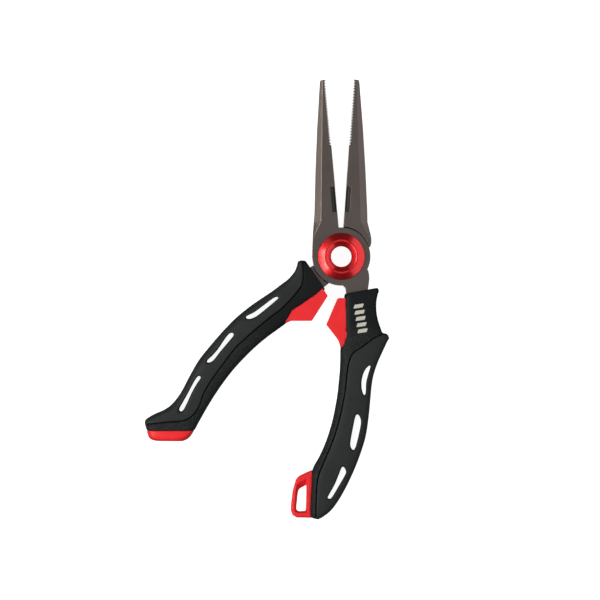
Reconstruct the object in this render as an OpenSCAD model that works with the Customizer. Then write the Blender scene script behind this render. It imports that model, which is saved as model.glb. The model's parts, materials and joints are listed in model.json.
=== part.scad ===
// Long-nose fishing pliers with a hollow pivot and magnet-opened handles.
// Lying flat: X across, Y towards the jaws, Z along the pivot axis, origin at the pivot's centre.

/* [Jaws] */
// How far the pivot's centre is from the jaw tips
jaw_len = 82.5; // [76:0.5:88]
// Thickness of the jaws at the joint
jaw_base_t = 9.6; // [8.6:0.1:10]
// Thickness of the jaws at the tips
jaw_tip_t = 4.4; // [3:0.1:5.5]
// Distance from one tooth to the next
tooth_pitch = 1.33; // [1.1:0.01:1.5]
// Depth of a tooth
tooth_depth = 0.85; // [0.4:0.05:0.9]
// How far each jaw face stays from the closing line
jaw_gap = 0.05; // [0.03:0.01:0.2]
// Length of a cutter blade
cutter_len = 11.6; // [9:0.1:13]
// Width of a cutter blade, into the jaw
cutter_w = 2.3; // [1.6:0.1:2.8]

/* [Rest pose] */
// Angle of the front lever's jaw from the Y axis
front_open = 5.05; // [4:0.05:5.5]
// Angle of the rear lever's jaw from the Y axis
rear_open = 3.95; // [3.5:0.05:5]

/* [Pivot] */
// Radius of each lever's joint disc
disc_r = 13.5; // [13:0.05:13.6]
// Radius of the shoulders round the joint discs
shoulder_r = 13.85; // [13.75:0.05:13.95]
// Radius of the open hole through the pivot
hole_r = 4.8; // [4:0.1:5.2]
// Outer radius of the hollow shank
shank_r = 6.6; // [6.2:0.1:7]
// Outer radius of the pivot's flanges
flange_r = 10.9; // [9.5:0.1:11.5]
// Height of a flange's rim above the lever
rim_h = 2.4; // [1.6:0.1:2.8]
// Thickness of the washer between the levers
washer_t = 0.3; // [0.2:0.05:0.4]

/* [Handles] */
// Half thickness of the grips at their middle
grip_half_t = 7.5; // [7.2:0.1:8]
// Width of the seam between a grip and its core
seam_w = 0.3; // [0.2:0.05:0.5]
// Thickness of the soft grip round the core's rib
grip_wall = 2.3; // [2:0.1:2.8]
// Half thickness of the magnet housings
housing_half_t = 5.6; // [5.4:0.1:6]
// Radius of each magnet
magnet_r = 4.5; // [3.5:0.1:4.7]
// Thickness of each magnet
magnet_t = 4; // [3:0.1:4.2]
// Half thickness of the lanyard loop
loop_half_t = 3.6; // [3:0.1:4]

/* [Hidden] */
$fn = 64;

gunmetal = [0.33, 0.30, 0.29];
blade_steel = [0.22, 0.21, 0.21];
anodised_red = [0.80, 0.06, 0.10];
bronze = [0.72, 0.55, 0.30];
core_black = [0.13, 0.14, 0.15];
grip_black = [0.17, 0.19, 0.19];
moulded_red = [0.90, 0.15, 0.15];
nickel = [0.75, 0.75, 0.76];

far = 200;                                  // bigger than the pliers, for cutting blocks
half_t = jaw_base_t / 2;
lap_z = washer_t / 2 + 0.05;                // inner face of each lever's joint disc
running = 0.03;                             // radial play of the turning parts
face_play = 0.05;                           // axial play beside a washer
thrust_t = 0.25;                            // the washer under the nut
nut_z = -half_t - thrust_t - face_play;     // inner face of the nut
rim_r = 7.4;                                // crest of each flange's cone
lip_h = 0.5;                                // height of a flange's outer edge
spline_steps = 2;
ring_points = 16;

// First and last tooth, and where the cutters sit, along a closed jaw
tooth_first = 53;
tooth_count = 22;
cutter_y = 21;

// Outer edge of a closed jaw, tip first, for the side where X is positive
jaw_edge = [[2.35, jaw_len], [2.8, jaw_len - 0.8], [4.45, 70.6], [5.9, 60.6], [7.15, 50.7],
            [8.45, 40.8], [9.6, 30.8], [10.7, 20.9]];
front_root = [[11.6, 15.8], [12.35, 11], [13.05, 5.5], [13.6, 1], [13, -2]];
rear_root = [[11, 17], [12.25, 13], [12.95, 10.9], [13.4, 8.9], [13.45, 7], [13.15, 5.6], [12.75, 5.2]];

// Tang outlines: the thick root that is seen, then the strip inside the handle
front_tang_root = [[0, -9], [0.4, -13], [1, -13.8], [1.6, -14.3], [2, -15], [2.1, -16],
                   [2.5, -22], [10.6, -22], [12, -17], [12.4, -15], [12.7, -13], [13, -10.5],
                   [12.9, -8.6], [12.5, -6.4], [9, -4]];
front_tang_inner = [[3.4, -20], [3.4, -36], [2.4, -49], [1.6, -59], [0.4, -67.5], [-1.3, -75.5],
                    [-3.5, -83], [-6, -89.5]];
front_tang_outer = [[9.4, -20], [8.6, -36], [7, -49], [6, -59], [4.8, -67.5], [2.9, -75.5],
                    [0.6, -83], [-2.4, -91]];
rear_tang_root = [[-8, -2], [-12.6, -4.1], [-13.6, -4.4], [-14, -4.75], [-17.6, -6.8], [-11.4, -16],
                  [-7.9, -14.1], [-6, -12.6], [-4, -9]];
rear_tang_inner = [[-11.2, -15.2], [-18, -19.8], [-24, -25], [-30, -30.4], [-36, -35], [-42, -40.5],
                   [-48, -46.5], [-54, -54], [-58, -60]];
rear_tang_outer = [[-15.4, -8.6], [-22, -15], [-28, -21.5], [-34, -26.6], [-41, -32.6], [-48.5, -40.5],
                   [-54, -47.5], [-58.8, -54.5], [-61.6, -59]];
tang_half_t = 3;

// Stations of a handle: outer edge x, y, inner edge x, y, half thickness, squareness of the section
right_stations = [
    [16.8, -14.5, 1.8, -17.3, 6.2, 5], [17.5, -15.9, 1.4, -18.4, 6.6, 5], [16.9, -17.9, 1.4, -20.2, 6.8, 5],
    [16.3, -21.5, 1.4, -24, 6.9, 5], [16.4, -26, 1.5, -28.5, 6.9, 5], [17.2, -30, 1.5, -33, 7, 5],
    [18.2, -33, 1.6, -37, 7, 5], [19.2, -35.4, 0.7, -40.3, 7.1, 4.6], [21, -35.9, -0.3, -42.3, 7.2, 4.2],
    [22.3, -37.6, -0.5, -44.5, 7.3, 3.8], [21.1, -40.2, -0.5, -47, 7.4, 3.5],
    [19, -44.7, -0.6, -50, grip_half_t, 3.3], [16.8, -49.7, -0.8, -54, grip_half_t, 3.2],
    [15, -55.2, -1.2, -58.2, grip_half_t, 3.2], [14.1, -60.5, -1.7, -63, grip_half_t, 3.2],
    [13.5, -67, -2.6, -68.7, grip_half_t, 3.2], [12.7, -75, -4.2, -76.5, grip_half_t, 3.2],
    [11.4, -83.5, -6.8, -85, grip_half_t, 3.2], [9, -91.5, -10, -92.5, 7.5, 3.2],
    [5.9, -99.5, -13.4, -99, 7.4, 3.4], [2.1, -107.5, -13.9, -105.5, 7.2, 3.6],
    [-1.6, -113.9, -14.3, -112, 6.8, 3.6], [-5, -118.3, -14.5, -117, 6.2, 3.4],
    [-8.4, -121, -14.6, -120, 5.4, 3.2], [-10.4, -122.2, -13.4, -121.6, 4.6, 3]];
left_stations = [
    [-16.7, -1.9, -7.5, -15.2, 6.2, 5], [-19.8, -1.9, -9.3, -16.7, 6.6, 5], [-20.6, -4, -11.5, -18.2, 6.8, 5],
    [-21.7, -6.9, -14, -19.9, 6.9, 5], [-24.5, -10.3, -18, -22.7, 6.9, 4.6], [-28, -13, -22.6, -25.9, 7, 4.2],
    [-32, -16, -25.2, -30.4, 7.2, 3.8], [-36, -18.7, -29, -33.5, 7.4, 3.4],
    [-42, -22.8, -34, -37.1, grip_half_t, 3.2], [-48.8, -28.3, -40, -42.1, grip_half_t, 3.2],
    [-55, -34.6, -46, -48, grip_half_t, 3.2], [-61, -41.5, -51, -53.6, grip_half_t, 3.2],
    [-66.5, -48.5, -55.4, -59.4, grip_half_t, 3.2], [-70.5, -55.5, -59, -64.7, grip_half_t, 3.2],
    [-74.5, -63, -61.6, -68.9, grip_half_t, 3.2], [-78.2, -68, -63.2, -71.6, grip_half_t, 3.2],
    [-82, -71, -64.5, -73.9, 7.5, 3.4], [-87.5, -73.5, -65.8, -76.2, 7.4, 3.6],
    [-91, -75.8, -67, -78.4, 7.4, 3.8], [-91.4, -77.2, -67.6, -79.6, 7.4, 4],
    [-90.4, -81, -68.6, -81.2, 7.4, 4], [-89.6, -83.8, -70, -83.4, 7.2, 3.6],
    [-88.3, -85.1, -71.6, -84.9, 6.6, 3.2], [-86, -85.7, -73.6, -85.8, 5.6, 3]];
cap_y = -80.8;                              // where the end cap meets the left handle

// Seams between grip and core
right_seam = [[24, -35.2], [20, -35.9], [17, -36.9], [14.5, -38.3], [12, -40.2], [9, -42.4], [6.5, -44],
              [5, -45.5], [4.1, -47.5], [3.2, -51], [2.5, -56], [1.9, -62], [0.6, -69], [-1.2, -77],
              [-3.7, -85], [-7, -93], [-10.3, -101], [-11.3, -106], [-11.6, -113], [-11.9, -126]];
left_seam = [[-17.9, 2], [-17.9, -4], [-17.7, -8], [-17.9, -11.5], [-18.8, -14.2], [-22.5, -18.8],
             [-27.5, -24], [-33, -28.2], [-39, -33.2], [-45, -38.5], [-50, -43.5], [-56, -51.5],
             [-61, -58.5], [-64, -64], [-66, -69.4], [-69, -73.8], [-73, -76.1], [-80, -76.8], [-96, -78.6]];

// Slots through the handles, each a closed outline
right_slots = [
    [[13.2, -50.4], [13.8, -51.4], [12.7, -55], [11.8, -59], [11.6, -63.4], [11, -64.7], [10.2, -64.2],
     [9.3, -61.6], [9.2, -58], [10, -54.4], [11.4, -51.8]],
    [[7.5, -73], [8.8, -74.5], [9.4, -77], [8.8, -81], [7.4, -87], [6.4, -89.8], [5.4, -90.3], [4.3, -88.8],
     [4, -86.4], [5, -80.6], [6.3, -74.4]],
    [[0.7, -97.3], [1.6, -98], [2.4, -100], [2, -101.8], [-1, -107], [-4, -112], [-5.4, -113.1],
     [-6.5, -112.4], [-6.3, -111.2], [-3.4, -106], [-1.3, -101], [-0.1, -98]]];
left_slots = [
    [[-28.8, -18.9], [-29.7, -18.5], [-32, -19.4], [-36.3, -22.6], [-40.7, -25.8], [-44.2, -27.6],
     [-44.4, -28.8], [-42.6, -29.2], [-39.4, -27.9], [-34.6, -24.2], [-30, -20.3]],
    [[-49.8, -35.9], [-51, -35.2], [-52.9, -36.4], [-55, -39.2], [-57.5, -42.9], [-60, -45.8], [-62.8, -48.6],
     [-62, -49.6], [-59.4, -48.4], [-55.9, -44], [-52.5, -40], [-50.2, -37.2]],
    [[-65.3, -55.6], [-66.6, -55.4], [-68.3, -57.5], [-69.9, -60.4], [-72.3, -64.9], [-74.7, -69.1],
     [-75.7, -71.2], [-74.8, -72.4], [-73.3, -71.4], [-71.6, -68.4], [-69.3, -63.3], [-66.9, -59.1],
     [-65.2, -56.6]]];

// Magnet housings: the outline that is seen, and its buried back edge
right_housing = [[4.5, -19.3], [-1.3, -19.3], [-1.9, -19.8], [-7, -31.7], [-3.5, -36.2], [-1.4, -39],
                 [-0.7, -41], [-0.5, -42.3], [2.4, -41.6], [4.5, -38]];
left_housing = [[-10, -13.2], [-7.8, -16], [-6.3, -18.3], [-13.7, -29.9], [-23.3, -29.9], [-25.6, -30.9],
                [-27, -28], [-25, -23]];
right_face = [[-1.9, -19.8], [-7, -31.7]];  // the face that looks at the other housing
left_face = [[-13.7, -29.9], [-6.3, -18.3]];
magnet_skin = 0.8;                          // housing wall in front of a magnet

// Lanyard loop: outside, buried back edge, and the hole
loop_outside = [[-10.5, -99.6], [-13.7, -99.6], [-16, -100.6], [-19.6, -102.4], [-21, -104],
                [-22.3, -109], [-23.1, -115], [-23.2, -118], [-22.4, -120], [-20.6, -121.1],
                [-14.5, -121.2], [-10.5, -121.2]];
loop_hole = [[-16.5, -106.4], [-17.3, -106.7], [-19.4, -107.9], [-20.2, -109.4], [-20.8, -113.5],
             [-21.1, -117], [-20.7, -118.2], [-19.8, -118.6], [-17, -118.5], [-16.3, -118], [-16.2, -107]];

function pick(list, i) = list[max(0, min(len(list) - 1, i))];
function spline_at(a, b, c, d, t) =
    0.5 * (2 * b + (c - a) * t + (2 * a - 5 * b + 4 * c - d) * t * t + (3 * b - a - 3 * c + d) * t * t * t);
function spline(list, steps) = [
    for (i = [0 : len(list) - 2]) for (k = [0 : steps - 1])
        spline_at(pick(list, i - 1), list[i], list[i + 1], pick(list, i + 2), k / steps),
    list[len(list) - 1]];
function backwards(list) = [for (i = [len(list) - 1 : -1 : 0]) list[i]];
function closed_spline(list, steps) = let (n = len(list)) [
    for (i = [0 : n - 1]) for (k = [0 : steps - 1])
        spline_at(list[(i + n - 1) % n], list[i], list[(i + 1) % n], list[(i + 2) % n], k / steps)];
function unit(v) = v / norm(v);
function power(c, squareness) = sign(c) * pow(abs(c), 2 / squareness);

// One rounded section of a handle, with its outer and inner edges and its faces drawn in
function section(s, outer_in, inner_in, face_in) =
    let (outer = [s[0], s[1]], inner = [s[2], s[3]], across = unit(outer - inner),
         a = outer - across * outer_in, b = inner + across * inner_in,
         hand = sign(inner[0] - outer[0]),     // keeps either handle's faces looking outwards
         top = hand * power(sin(90 - 180 / ring_points), s[5]))
    [for (k = [0 : ring_points - 1])
        let (turn = 360 * (k + 0.5) / ring_points,
             u = power(cos(turn), s[5]), w = power(sin(turn), s[5]) / top,
             p = (a + b) / 2 + u * (a - b) / 2)
        [p[0], p[1], w * (s[4] - face_in)]];

module loft(stations, outer_in = 0, inner_in = 0, face_in = 0) {
    rings = [for (s = stations) section(s, outer_in, inner_in, face_in)];
    n = ring_points;
    last = len(rings) - 1;
    polyhedron(
        points = [for (r = rings) each r],
        faces = [
            for (i = [0 : last - 1]) for (k = [0 : n - 1])
                each [[i * n + k, i * n + (k + 1) % n, (i + 1) * n + k],
                      [i * n + (k + 1) % n, (i + 1) * n + (k + 1) % n, (i + 1) * n + k]],
            backwards([for (k = [0 : n - 1]) k]),
            [for (k = [0 : n - 1]) last * n + k]]);
}

// A block that removes everything on one side of the plane through three points
module beyond_plane(p, q, r) {
    e1 = unit(q - p);
    e3 = unit(cross(q - p, r - p));
    e2 = cross(e3, e1);
    multmatrix([[e1[0], e2[0], e3[0], p[0]], [e1[1], e2[1], e3[1], p[1]], [e1[2], e2[2], e3[2], p[2]]])
        translate([-far / 2, -far / 2, 0]) cube(far);
}

module slab(z0, z1) {
    translate([0, 0, z0]) linear_extrude(z1 - z0) children();
}

// ---- Levers ----

function teeth() = [
    for (i = [0 : tooth_count - 1]) each [
        [jaw_gap + tooth_depth, tooth_first + (i - 0.5) * tooth_pitch],
        [jaw_gap, tooth_first + i * tooth_pitch]]];

// A closed jaw on the side where X is positive, with the pocket for its cutter
module jaw(root) {
    taper_y = 18;
    bevel_tip = [1.65, 80.4];               // the bevel's inner edge, from the tip
    bevel_base = [8, 17];
    bevel_out = [13.3, 8];                  // to where it runs out at the root
    bevel_low = [11.1, 17, half_t - 2.3];
    slope = (jaw_base_t - jaw_tip_t) / 2 / (jaw_len - taper_y);
    top = function(p) [p[0], p[1], half_t - slope * max(0, p[1] - taper_y)];
    difference() {
        slab(-half_t, half_t) polygon(concat(
            [[jaw_gap, 8], [jaw_gap, cutter_y], [cutter_w, cutter_y], [cutter_w, cutter_y + cutter_len],
             [jaw_gap, cutter_y + cutter_len], [jaw_gap, tooth_first - 1]],
            teeth(),
            [[jaw_gap + tooth_depth, tooth_first + (tooth_count - 0.5) * tooth_pitch],
             [jaw_gap, jaw_len - 0.4], [jaw_gap + 0.1, jaw_len]],
            jaw_edge, root));
        for (side = [0, 1]) mirror([0, 0, side]) {
            beyond_plane([0, taper_y, half_t], [1, taper_y, half_t], [0, jaw_len, jaw_tip_t / 2]);
            intersection() {
                beyond_plane(top(bevel_tip), top(bevel_base), bevel_low);
                beyond_plane(top(bevel_base), top(bevel_out), bevel_low);
            }
        }
    }
}

module front_jaw() {
    rotate(front_open) mirror([1, 0, 0]) jaw(concat(front_root, [[8, 0]]));
}

module rear_jaw() {
    rotate(-rear_open) jaw(concat(rear_root, [[8, 4]]));
}

module tang(root, inner, outer) {
    slab(-half_t, half_t) polygon(root);
    slab(-tang_half_t, tang_half_t)
        polygon(concat(spline(inner, spline_steps), backwards(spline(outer, spline_steps))));
}

module front_tang() {
    tang(front_tang_root, front_tang_inner, front_tang_outer);
}

module rear_tang() {
    tang(rear_tang_root, rear_tang_inner, rear_tang_outer);
}

module front_lever() {
    color(gunmetal) difference() {
        union() {
            front_jaw();
            front_tang();
            translate([0, 0, lap_z]) cylinder(r = disc_r, h = half_t - lap_z);
        }
        translate([0, 0, lap_z - far]) cylinder(r = shoulder_r, h = far);
        cylinder(r = shank_r, h = far, center = true);
    }
}

module rear_lever() {
    color(gunmetal) difference() {
        union() {
            rear_jaw();
            rear_tang();
            translate([0, 0, -half_t]) cylinder(r = disc_r, h = half_t - lap_z);
        }
        translate([0, 0, -lap_z]) cylinder(r = shoulder_r, h = far);
        cylinder(r = shank_r + running, h = far, center = true);
    }
}

// A hardened blade with a double bevel, brazed into its jaw's pocket
module cutter() {
    cheek = 3.1;
    color(blade_steel) translate([0, cutter_y + cutter_len, 0]) rotate([90, 0, 0]) linear_extrude(cutter_len)
        polygon([[jaw_gap, 0], [1.2, -cheek], [cutter_w, -cheek], [cutter_w, cheek], [1.2, cheek]]);
}

module front_cutter() {
    rotate(front_open) mirror([1, 0, 0]) cutter();
}

module rear_cutter() {
    rotate(-rear_open) cutter();
}

// ---- Pivot ----

// Half section of a coned flange that stands on the plane where Y is zero
function flange_profile(inner_r, lip) = [
    [inner_r, 0], [flange_r, 0], [flange_r, lip], [rim_r + 0.3, rim_h], [rim_r - 0.3, rim_h]];

module pivot_bush() {
    countersink = 2;
    end_z = nut_z - rim_h + 0.7;
    color(anodised_red) difference() {
        union() {
            translate([0, 0, half_t]) rotate_extrude()
                polygon(concat(flange_profile(shank_r - 1, lip_h), [[shank_r - 1, rim_h]]));
            translate([0, 0, end_z]) cylinder(r = shank_r, h = half_t + rim_h - end_z);
        }
        cylinder(r = hole_r, h = far, center = true);
        translate([0, 0, half_t + rim_h - countersink])
            cylinder(r1 = hole_r, r2 = rim_r - 0.3, h = countersink);
    }
}

module pivot_nut() {
    color(anodised_red) translate([0, 0, nut_z]) mirror([0, 0, 1]) rotate_extrude()
        polygon(concat(flange_profile(shank_r, lip_h), [[shank_r, rim_h - 0.7]]));
}

module ring(inner_r, outer_r, z, t) {
    color(bronze) difference() {
        translate([0, 0, z]) cylinder(r = outer_r, h = t);
        cylinder(r = inner_r, h = far, center = true);
    }
}

module joint_washer() {
    ring(shank_r + running, 12, -washer_t / 2, washer_t);
}

module thrust_washer() {
    ring(shank_r + running, 10.2, nut_z, thrust_t);
}

// ---- Handles ----

module grip_side(seam, corners, away) {
    shift = seam_w / 2 * away;
    slab(-far / 2, far / 2) translate(shift) polygon(concat(spline(seam, spline_steps), corners));
}

module slots(outlines) {
    slab(-far / 2, far / 2) for (outline = outlines) polygon(closed_spline(outline, spline_steps));
}

// A magnet, or its pocket run on backwards, behind the face from one point to the other
module behind_face(face, from, to, r) {
    along = unit(face[1] - face[0]);
    middle = (face[0] + face[1]) / 2;
    angle = atan2(along[1], along[0]);
    translate([middle[0], middle[1], 0]) rotate(angle) translate([0, from, 0])
        rotate([-90, 0, 0]) cylinder(r = r, h = to - from);
}

module magnet(face) {
    color(nickel) behind_face(face, magnet_skin, magnet_skin + magnet_t, magnet_r);
}

module housing(outline, face, stations) {
    color(moulded_red) difference() {
        slab(-housing_half_t, housing_half_t) polygon(outline);
        loft(stations);
        behind_face(face, magnet_skin, far / 4, magnet_r);
    }
}

// What the core is inside the grip: a rib that the grip wraps
module rib(stations, face_wall) {
    loft([for (i = [2 : len(stations) - 4]) stations[i]], grip_wall, 1, face_wall);
}

right_loft = spline(right_stations, spline_steps);
left_loft = spline(left_stations, spline_steps);
face_wall = 2.6;
right_corners = [[-11.9, -150], [60, -150], [60, -35.2]];
left_corners = [[-130, -78.6], [-130, 30], [-17.9, 30]];
right_away = [0.8, -0.6];
left_away = [-0.7, 0.7];

module right_handle_core() {
    color(core_black) difference() {
        union() {
            difference() {
                loft(right_loft);
                grip_side(right_seam, right_corners, -right_away);
            }
            rib(right_loft, face_wall);
            intersection() {
                slab(-housing_half_t, housing_half_t) polygon(right_housing);
                behind_face(right_face, magnet_skin + magnet_t, magnet_skin + magnet_t + 6, magnet_r);
            }
        }
        front_tang();
        behind_face(right_face, magnet_skin, magnet_skin + magnet_t, magnet_r);
        slots(right_slots);
    }
}

module right_grip() {
    color(grip_black) difference() {
        intersection() {
            loft(right_loft);
            grip_side(right_seam, right_corners, right_away);
        }
        rib(right_loft, face_wall);
        slots(right_slots);
    }
}

module right_magnet_housing() {
    housing(right_housing, right_face, right_loft);
}

module right_magnet() {
    magnet(right_face);
}

module lanyard_loop() {
    color(moulded_red) difference() {
        slab(-loop_half_t, loop_half_t) polygon(loop_outside);
        loft(right_loft);
        slab(-far / 2, far / 2) polygon(closed_spline(loop_hole, 1));
    }
}

// A cutting block with its lowest Y given
module block_from(y) {
    translate([-far, y, -far / 2]) cube(far);
}

module left_handle_core() {
    color(core_black) difference() {
        union() {
            difference() {
                loft(left_loft);
                grip_side(left_seam, left_corners, -left_away);
            }
            rib(left_loft, face_wall);
            intersection() {
                slab(-housing_half_t, housing_half_t) polygon(left_housing);
                behind_face(left_face, magnet_skin + magnet_t, magnet_skin + magnet_t + 6, magnet_r);
            }
        }
        rear_tang();
        behind_face(left_face, magnet_skin, magnet_skin + magnet_t, magnet_r);
        slots(left_slots);
        block_from(cap_y - far);
    }
}

module left_grip() {
    color(grip_black) difference() {
        intersection() {
            loft(left_loft);
            grip_side(left_seam, left_corners, left_away);
        }
        rib(left_loft, face_wall);
        slots(left_slots);
    }
}

module left_magnet_housing() {
    housing(left_housing, left_face, left_loft);
}

module left_magnet() {
    magnet(left_face);
}

module end_cap() {
    color(moulded_red) difference() {
        loft(left_loft);
        block_from(cap_y);
    }
}

front_lever();
rear_lever();
front_cutter();
rear_cutter();
pivot_bush();
pivot_nut();
joint_washer();
thrust_washer();
right_handle_core();
right_grip();
right_magnet_housing();
right_magnet();
lanyard_loop();
left_handle_core();
left_grip();
left_magnet_housing();
left_magnet();
end_cap();
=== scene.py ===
# %% [markdown]
# # Long-nose fishing pliers with a hollow pivot
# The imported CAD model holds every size, place and joint. This lesson makes what a camera sees of it:
# bevelled and coated steel, a turned red pivot, and moulded handles with soft grips. Nothing here moves
# a CAD part. Each finished piece rides on a CAD body, so it turns with its lever.

# %% Load the frame
import json
import math

import bmesh
import bpy
from mathutils import Matrix, Vector


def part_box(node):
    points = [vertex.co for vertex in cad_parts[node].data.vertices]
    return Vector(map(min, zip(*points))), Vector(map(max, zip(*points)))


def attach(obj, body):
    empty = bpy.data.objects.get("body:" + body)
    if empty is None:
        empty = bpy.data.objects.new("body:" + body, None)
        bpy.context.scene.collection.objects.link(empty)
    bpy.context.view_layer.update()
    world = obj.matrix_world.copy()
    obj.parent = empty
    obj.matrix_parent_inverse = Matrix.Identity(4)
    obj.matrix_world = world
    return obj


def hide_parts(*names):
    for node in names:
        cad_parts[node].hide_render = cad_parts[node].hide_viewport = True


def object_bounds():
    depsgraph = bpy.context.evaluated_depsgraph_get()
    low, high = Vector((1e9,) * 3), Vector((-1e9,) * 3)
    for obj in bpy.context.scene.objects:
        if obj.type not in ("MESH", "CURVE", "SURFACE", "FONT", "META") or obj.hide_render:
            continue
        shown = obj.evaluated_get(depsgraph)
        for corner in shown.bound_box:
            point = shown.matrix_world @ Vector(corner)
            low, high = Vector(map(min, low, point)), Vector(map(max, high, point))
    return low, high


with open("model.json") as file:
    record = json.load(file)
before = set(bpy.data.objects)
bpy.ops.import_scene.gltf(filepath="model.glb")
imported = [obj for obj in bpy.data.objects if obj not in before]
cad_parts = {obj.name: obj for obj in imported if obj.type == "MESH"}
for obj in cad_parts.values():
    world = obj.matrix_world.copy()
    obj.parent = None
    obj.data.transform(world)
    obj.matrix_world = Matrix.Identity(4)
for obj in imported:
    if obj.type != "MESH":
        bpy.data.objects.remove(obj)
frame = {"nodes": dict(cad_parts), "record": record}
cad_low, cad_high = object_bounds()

MM = 0.001
record = frame["record"]
bodies = record["behaviour"]["bodies"]
body_of_node = {node: body for body, nodes in bodies.items() for node in nodes}
scene = bpy.context.scene
print("CAD box in mm:", [round(v / MM, 1) for v in (*cad_low, *cad_high)])

# %% [markdown]
# ## The camera
# The pliers lie flat and the camera looks straight down on them from 2.4 m, as on a copy stand. A long
# lens at that distance keeps the jaws and handles in proportion. The camera's middle is a little left of
# the pivot and below it, because the handles spread to that side and are longer than the jaws.

# %% Camera
CAMERA_HEIGHT = 2.4
FIELD_WIDTH = 0.2791
SENSOR = 36.0
VIEW_MIDDLE = (-0.0192, -0.0202)
camera = bpy.data.objects.new("camera", bpy.data.cameras.new("camera"))
scene.collection.objects.link(camera)
camera.data.sensor_width = SENSOR
camera.data.lens = SENSOR * CAMERA_HEIGHT / FIELD_WIDTH
camera.data.clip_end = 10
camera.location = (*VIEW_MIDDLE, CAMERA_HEIGHT)
scene.camera = camera
print("lens in mm:", round(camera.data.lens, 1))

# %% [markdown]
# ## Shader maths as Python
# A material's pattern is arithmetic on sockets. Wrapping a socket in a small class lets that arithmetic be
# written as an expression: each operator adds one Math node. Every other node comes from one method, which
# takes the node's type, its settings and the values or links of its sockets.

# %% Sockets that can be added and multiplied
class Value:
    """A number socket of a shader tree that works in Python expressions."""

    def __init__(self, tree, socket):
        self.tree = tree
        self.socket = socket

    def maths(self, operation, first, second=0.0):
        node = self.tree.nodes.new("ShaderNodeMath")
        node.operation = operation
        for slot, term in zip(node.inputs, (first, second)):
            if isinstance(term, Value):
                self.tree.links.new(term.socket, slot)
            else:
                slot.default_value = term
        return Value(self.tree, node.outputs[0])

    def __add__(self, other):
        return self.maths("ADD", self, other)

    def __radd__(self, other):
        return self.maths("ADD", other, self)

    def __sub__(self, other):
        return self.maths("SUBTRACT", self, other)

    def __rsub__(self, other):
        return self.maths("SUBTRACT", other, self)

    def __mul__(self, other):
        return self.maths("MULTIPLY", self, other)

    def __rmul__(self, other):
        return self.maths("MULTIPLY", other, self)


# %% A material that is built node by node
class Finish:
    """A material with a Principled shader, and one method that adds any other node.

    The settings of a ramp are its two stops, each a position and a colour.
    """

    def __init__(self, name, **constants):
        self.material = bpy.data.materials.new(name)
        self.material.use_nodes = True
        self.tree = self.material.node_tree
        self.shader = self.tree.nodes["Principled BSDF"]
        for socket, value in constants.items():
            self.shader.inputs[socket.replace("_", " ")].default_value = value
        place = self.tree.nodes.new("ShaderNodeTexCoord")
        self.place = Value(self.tree, place.outputs["Object"])

    def node(self, kind, settings=None, output=0, **sockets):
        made = self.tree.nodes.new(kind)
        for name, setting in (settings or {}).items():
            if name == "stops":
                for element, (position, colour) in zip(made.color_ramp.elements, setting):
                    element.position = position
                    element.color = (*colour, 1.0)
            else:
                setattr(made, name, setting)
        for name, value in sockets.items():
            socket = made.inputs[name.replace("_", " ")]
            if isinstance(value, Value):
                self.tree.links.new(value.socket, socket)
            else:
                socket.default_value = value
        return Value(self.tree, made.outputs[output])

    def noise(self, size, detail=2.0):
        """Noise whose blobs are about size metres across."""
        return self.node("ShaderNodeTexNoise", Vector=self.place, Scale=1 / size, Detail=detail)

    def colours(self, mask, dark, light):
        """Base colour that goes from dark to light with the mask."""
        blend = self.node("ShaderNodeValToRGB", {"stops": [(0.25, dark), (0.75, light)]}, Fac=mask)
        self.tree.links.new(blend.socket, self.shader.inputs["Base Color"])

    def feed(self, socket, value):
        self.tree.links.new(value.socket, self.shader.inputs[socket])

    def bump(self, height, depth, strength=1.0):
        """Relief that stands depth metres proud where height is 1."""
        normal = self.node("ShaderNodeBump", Height=height, Distance=depth, Strength=strength)
        self.tree.links.new(normal.socket, self.shader.inputs["Normal"])


# %% [markdown]
# ## Finishes of the metal
# The levers carry a thin, hard, warm grey coating over a bead-blasted surface. It is metal, so it takes its
# brightness from what it reflects. One flat grey would look like painted plastic, so two noises vary it: a
# fine one is the grain of the blasting, and a broad one lets the colour drift a little. The cutter blades
# are ground and darkened, and a wave texture draws the grinding lines that run across them.

# %% Coated steel
def coated_steel():
    finish = Finish("coated_steel", Metallic=0.92)
    cloud = finish.noise(18 * MM)
    grain = finish.noise(0.35 * MM, detail=4.0)
    finish.colours(cloud * 0.6 + grain * 0.4, (0.112, 0.092, 0.086), (0.150, 0.124, 0.116))
    finish.feed("Roughness", 0.32 + grain * 0.10)
    finish.bump(grain, 0.02 * MM, 0.5)
    return finish.material


# %% Darkened blade steel
GRIND_SCALE = 900.0                 # a wave texture makes these lines 0.35 mm apart


def blade_steel():
    finish = Finish("blade_steel", Metallic=0.9)
    grind = finish.node("ShaderNodeTexWave", {"bands_direction": "Y"},
                        Vector=finish.place, Scale=GRIND_SCALE, Distortion=3.0, Detail=3.0)
    finish.colours(grind, (0.045, 0.042, 0.042), (0.085, 0.080, 0.078))
    finish.feed("Roughness", 0.26 + grind * 0.12)
    finish.bump(grind, 0.008 * MM, 0.5)
    return finish.material


# %% [markdown]
# The pivot is aluminium, turned on a lathe and dyed red. The tool leaves rings about 0.12 mm apart, which
# are circles about the pivot's axis. As geometry they would take a huge mesh, so a ring wave on object
# coordinates draws them as a bump. A thin clear coat over the red metal gives the pale streak that faces
# the light. The washers are plain bronze and the magnets are plated with nickel.

# %% Red anodised aluminium
RING_SCALE = 2600.0                 # rings 0.12 mm apart


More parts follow.
